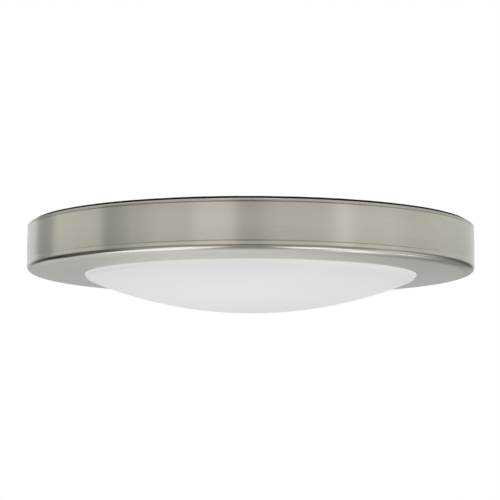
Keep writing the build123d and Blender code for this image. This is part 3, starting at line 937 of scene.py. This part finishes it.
@dataclass
class Back:
    """What is fastened to the back of the light: foam strip, lead bush, screws and twist-lock studs."""

    spinner: SpinRecipe
    recess: RecessRecipe
    ring: RingRecipe
    strip_width: float = 0.0028
    strip_bulge: float = 0.0003
    strip_edge_bend: float = 0.00025
    strip_unevenness: float = 0.00014
    bush_bore: float = 0.004
    bush_neck: float = 0.006
    bush_lip: float = 0.0014
    bush_bend: float = 0.0005
    screw_count: int = 4
    screw_circle: float = 0.08525
    screw_bearing: float = 45.0
    screw_radius: float = 0.0015
    screw_tip_bend: float = 0.00045
    screw_head_radius: float = 0.0028
    screw_head_height: float = 0.0019
    screw_seat_bend: float = 0.0002
    screw_crown: float = 0.0011
    recess_span: float = 0.0031
    recess_width: float = 0.0009
    recess_depth: float = 0.00115
    stud_count: int = 3
    stud_circle: float = 0.041
    stud_bearing: float = 40.0
    stud_radius: float = 0.0025
    stud_rim_radius: float = 0.0035
    stud_head_radius: float = 0.0042
    stud_head_height: float = 0.0016
    stud_chamfer: float = 0.0004

    def build(self) -> List[Object]:
        """Make all the pieces on the back and return them."""
        return [self._strip(), self._bush(), self._screws(), self._studs()]

    def _strip(self) -> Object:
        """Return the foam strip on the rear lip."""
        low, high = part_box("foam_strip")
        inner, outer = high.x - self.strip_width, high.x + self.strip_bulge
        mesh = self.spinner.spin(
            "foam_strip_ring",
            flat_ring(inner, outer, low.z, high.z, self.strip_edge_bend),
            FOAM,
            steps_round=360,
            steps_per_bend=5,
            unevenness=self.strip_unevenness,
        )
        strip = add_piece("foam_strip_ring", mesh, ["foam_strip"])
        return strip

    def _bush(self) -> Object:
        """Return the rubber bush in the middle of the heat sink."""
        low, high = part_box("lead_grommet")
        under, over = low.z + self.bush_lip, high.z - self.bush_lip
        corners = [
            Corner(self.bush_bore, low.z, self.bush_bend),
            Corner(high.x, low.z, self.bush_bend),
            Corner(high.x, under, self.bush_bend / 2.0),
            Corner(self.bush_neck, under),
            Corner(self.bush_neck, over),
            Corner(high.x, over, self.bush_bend / 2.0),
            Corner(high.x, high.z, self.bush_bend),
            Corner(self.bush_bore, high.z, self.bush_bend),
        ]
        mesh = self.spinner.spin("lead_bush", corners, RUBBER, steps_round=96, steps_per_bend=8)
        return add_piece("lead_bush", mesh, ["lead_grommet"], crisp=True)

    def _screws(self) -> Object:
        """Return the four cross-recess screws in the heat sink's rim."""
        low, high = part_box("heat_sink_screws")
        seat = high.z - self.screw_head_height
        corners = [
            Corner(0.0, low.z),
            Corner(self.screw_radius, low.z, self.screw_tip_bend),
            Corner(self.screw_radius, seat),
            Corner(self.screw_head_radius, seat, self.screw_seat_bend),
            Corner(self.screw_head_radius, high.z, self.screw_crown),
            Corner(0.0, high.z),
        ]
        screw = self.spinner.spin("sink_screw", corners, ZINC, closed=False, steps_round=48, steps_per_bend=8)
        cut_sizes = {
            "Recess Span": self.recess_span,
            "Recess Width": self.recess_width,
            "Recess Depth": self.recess_depth,
            "Head Top": high.z,
        }
        cut_screw = self.recess.run(screw, ZINC, cut_sizes)
        mesh = self._set_round(cut_screw, self.screw_count, self.screw_circle, self.screw_bearing)
        return add_piece("sink_screws", mesh, ["heat_sink_screws"], crisp=True)

    def _studs(self) -> Object:
        """Return the three headed studs of the twist lock."""
        low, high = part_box("bayonet_studs")
        seat = high.z - self.stud_head_height
        sink_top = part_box("heat_sink")[1].z
        corners = [
            Corner(0.0, low.z),
            Corner(self.stud_rim_radius, low.z, self.stud_chamfer / 2.0),
            Corner(self.stud_rim_radius, sink_top, self.stud_chamfer / 2.0),
            Corner(self.stud_radius, sink_top),
            Corner(self.stud_radius, seat),
            Corner(self.stud_head_radius, seat, self.stud_chamfer),
            Corner(self.stud_head_radius, high.z, self.stud_chamfer),
            Corner(0.0, high.z),
        ]
        stud = self.spinner.spin("lock_stud", corners, ZINC, closed=False, steps_round=48, steps_per_bend=6)
        mesh = self._set_round(stud, self.stud_count, self.stud_circle, self.stud_bearing)
        return add_piece("lock_studs", mesh, ["bayonet_studs"], crisp=True)

    def _set_round(self, part: Mesh, count: int, circle: float, bearing: float) -> Mesh:
        """Return one mesh of zinc-plated copies on a circle about Z, the first at a bearing from +X."""
        sizes = {"Count": count, "Circle Radius": circle, "First Bearing": math.radians(bearing)}
        return self.ring.run(part, ZINC, sizes)


@dataclass
class CarriedNodes:
    """Solids whose shape is right and that only take a finish."""

    finishes: Mapping[str, Finish]

    def dress(self) -> None:
        """Put each finish on the slots of its node."""
        for name, finish in self.finishes.items():
            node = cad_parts[name]
            for slot in node.material_slots:
                slot.material = finish.material()
            log.info("%s: finish %s", name, finish.name)


@dataclass(frozen=True)
class Panel:
    """Even light panel with soft edges, or a dark flag if its strength is below zero, far round the light.

    The azimuth is measured from behind the camera towards +X. An edge fades over twice its softness.
    """

    azimuth: float
    elevation: float
    half_width: float
    half_height: float
    strength: float
    side_softness: float = 4.0
    top_softness: float = 6.0

    def light(self, graph: Graph, x: Wire, y: Wire, elevation: Wire) -> Wire:
        """Return the strength in a direction, which is given by its level part and its elevation."""
        azimuth = math.radians(self.azimuth)
        facing = x * math.sin(azimuth) - y * math.cos(azimuth)
        aside = graph.maths("ARCCOSINE", facing) * DEGREES_PER_RADIAN
        within_sides = aside.within(self.half_width, self.side_softness)
        within_ends = elevation.near(self.elevation, self.half_height, self.top_softness)
        return within_sides * within_ends * self.strength


@dataclass(frozen=True)
class Board:
    """Bright board with soft edges, lying flat below the light.

    Its place and half sizes are shares of its depth. An edge fades over twice its softness.
    """

    across: float
    along: float
    half_across: float
    half_along: float
    strength: float
    softness: float = 0.08

    def light(self, across: Wire, along: Wire) -> Wire:
        """Return the strength in a direction, which is given by the place that it reaches."""
        within_sides = across.near(self.across, self.half_across, self.softness)
        within_ends = along.near(self.along, self.half_along, self.softness)
        return within_sides * within_ends * self.strength


@dataclass
class Studio:
    """Camera, soft light from all round and a pale floor."""

    camera_place: Triple = (0.0, -0.754, -0.0958)
    camera_aim: Triple = (-0.00032, 0.0, -0.01007)
    camera_lens: float = 127.6
    camera_roll: float = 0.14
    camera_near: float = 0.01
    sensor_width: float = 36.0
    floor_height: float = -1.3
    floor_radius: float = 4.0
    floor_steps: int = 96
    warm: Colour = (1.0, 0.99, 0.965)
    cool: Colour = (0.965, 0.985, 1.0)
    cool_start: float = 0.35
    cool_end: float = 0.8
    board_tint: Colour = (1.0, 1.0, 1.07)
    least_light: float = 0.02
    least_level: float = 1e-6
    least_depth: float = 0.2
    base: Tuple[Tuple[float, float], ...] = (
        (-90, 0.66), (-78, 0.60), (-62, 0.30), (-45, 0.30),
        (-36, 0.42), (-22, 0.42), (-13, 0.24), (-4, 0.24),
        (1, 0.56), (4, 0.70), (7, 0.78), (11, 0.80),
        (15, 0.36), (26, 0.30), (36, 0.66), (90, 0.70),
    )
    panels: Tuple[Panel, ...] = (
        # All round at the height that the side band mirrors.
        Panel(-128.5, 7, 10.5, 9, -0.34, 5),
        Panel(-98, 7, 16, 9, -0.04, 6),
        Panel(-75.5, 7, 4, 9, -0.08, 3),
        Panel(-71.5, 7, 8, 9, -0.13, 3),
        Panel(-65, 7, 14, 9, -0.11, 4),
        Panel(-18, 7, 10, 9, 0.17, 3),
        Panel(0, 7, 6, 9, -0.08, 4),
        Panel(62, 7, 22, 9, 0.055, 8),
        Panel(47, 7, 5, 9, 0.17, 4),
        Panel(105, 7, 26, 9, -0.05, 8),
        Panel(142, 7, 14, 9, -0.09, 8),
        # Beyond the light, where the face ring mirrors them.
        Panel(180, 4, 12, 5, -0.25, 5, 3),
        Panel(-174, -8, 24, 8, 0.28, 10, 6),
        Panel(-168, -30, 26, 14, 0.34, 10, 6),
        Panel(-168, -54, 45, 12, 0.42, 12, 8),
        Panel(169, -27, 8, 11, -0.34, 6, 8),
        Panel(-178.5, -34, 6, 13, 0.27, 4, 5),
        Panel(-168, -24, 5, 6, -0.16, 3, 4),
        Panel(173.2, -6.5, 1.4, 3.5, 0.08, 0.8, 2),
        Panel(-178, -7, 1.8, 8, 0.08, 1),
        Panel(-175.8, -7, 1, 8, -0.09, 0.7),
        # Before, below and beside the light, where its rims and rolled edges mirror them.
        Panel(0, 20, 8, 6, -0.2, 4, 4),
        Panel(0, 0, 7, 3, -0.13, 4, 2),
        Panel(0, -14, 9, 12, -0.12, 5, 5),
        Panel(0, -90, ALL_ROUND, 11, -0.4, 5, 5),
        Panel(-100, -30, 28, 17, -0.28, 8, 5),
        Panel(-135, -24, 16, 14, -0.26, 6, 5),
        Panel(74, -12, 12, 7, 0.16, 6, 4),
        Panel(92, -36, 22, 16, 0.34, 8, 6),
        Panel(138, -20, 20, 14, -0.13, 8, 5),
        Panel(146, -43, 15, 11, 0.20, 6, 5),
        Panel(135, -45, 4.5, 4, 2.2, 2, 2),
    )
    boards: Tuple[Board, ...] = (
        Board(-0.52, -0.15, 0.31, 0.75, 1.0),
        Board(0.50, -0.35, 0.30, 0.42, 1.08),
        Board(0.40, 0.505, 0.10, 0.265, 1.35),
        Board(0.70, 0.22, 0.20, 0.13, 0.8, 0.1),
    )

    def build(self) -> None:
        """Set up the camera, the light, the floor and a plain view transform."""
        self._camera()
        self._light()
        self._floor()
        view = bpy.context.scene.view_settings
        view.view_transform = "Standard"
        view.look = "None"
        view.exposure = 0.0
        view.gamma = 1.0

    def _camera(self) -> None:
        """Point the camera up at the light from in front of it."""
        data = bpy.data.cameras.new("camera")
        data.lens = self.camera_lens
        data.sensor_width = self.sensor_width
        data.clip_start = self.camera_near
        camera = add_object("camera", data)
        camera.location = self.camera_place
        line = Vector(self.camera_aim) - Vector(self.camera_place)
        roll = Quaternion(line, math.radians(-self.camera_roll))
        camera.rotation_euler = (roll @ line.to_track_quat("-Z", "Y")).to_euler()
        bpy.context.scene.camera = camera

    def _light(self) -> None:
        """Light the object from a soft room, and show the camera a white background."""
        world = bpy.data.worlds.new("studio")
        world.use_nodes = True
        world.node_tree.nodes.clear()
        bpy.context.scene.world = world
        graph = Graph(world.node_tree)
        x, y, z = graph.split(graph.node("ShaderNodeTexCoord", output="Generated"))
        elevation = graph.maths("ARCSINE", z) * DEGREES_PER_RADIAN
        stops = [(self._ramp_place(height), grey(value)) for height, value in self.base]
        ramp = graph.node("ShaderNodeValToRGB", {"stops": stops}, {0: self._ramp_place(elevation)})
        total = graph.node("ShaderNodeSeparateColor", inputs={0: ramp})
        level = (x * x + y * y + self.least_level) ** 0.5
        level_x, level_y = x / level, y / level
        for panel in self.panels:
            total = total + panel.light(graph, level_x, level_y, elevation)
        total = graph.maths("MAXIMUM", total, self.least_light)
        tint = graph.mix(y.span(self.cool_start, self.cool_end), self.warm, self.cool)
        room = graph.node("ShaderNodeBackground", inputs={"Color": tint, "Strength": total})
        depth = graph.maths("MAXIMUM", z * -1.0, self.least_depth)
        across, along = x / depth, y / depth
        for board in self.boards:
            light = {"Color": solid(self.board_tint), "Strength": board.light(across, along)}
            glare = graph.node("ShaderNodeBackground", inputs=light)
            room = graph.node("ShaderNodeAddShader", inputs={0: room, 1: glare})
        white = graph.node("ShaderNodeBackground", inputs={"Color": solid(grey(1.0))})
        seen = graph.node("ShaderNodeLightPath", output="Is Camera Ray")
        shown = graph.node("ShaderNodeMixShader", inputs={0: seen, 1: room, 2: white})
        graph.node("ShaderNodeOutputWorld", inputs={"Surface": shown})

    @staticmethod
    def _ramp_place(elevation: Value) -> Value:
        """Return the place of an elevation on the ramp, from 0 straight below to 1 straight above."""
        return elevation / HALF_TURN + RAMP_MIDDLE

    def _floor(self) -> None:
        """Lay a pale round floor far below, which only the camera sees."""
        disc = bmesh.new()
        bmesh.ops.create_circle(disc, cap_ends=True, segments=self.floor_steps, radius=self.floor_radius)
        bmesh.ops.translate(disc, verts=disc.verts, vec=(0.0, 0.0, self.floor_height))
        mesh = bpy.data.meshes.new("floor")
        disc.to_mesh(mesh)
        disc.free()
        mesh.materials.append(FLOOR.material())
        floor = add_object("floor", mesh)
        for ray in ("diffuse", "glossy", "transmission", "shadow"):
            setattr(floor, f"visible_{ray}", False)


def main() -> None:
    """Build the light piece by piece, then the studio."""
    logging.basicConfig(level=logging.INFO, format="%(name)s: %(message)s")
    spinner = SpinRecipe()
    TrimShell(spinner).build()
    Lens(spinner).build()
    Back(spinner, RecessRecipe(), RingRecipe()).build()
    CarriedNodes(NODE_FINISHES).dress()
    Studio().build()


if __name__ == "__main__":
    main()
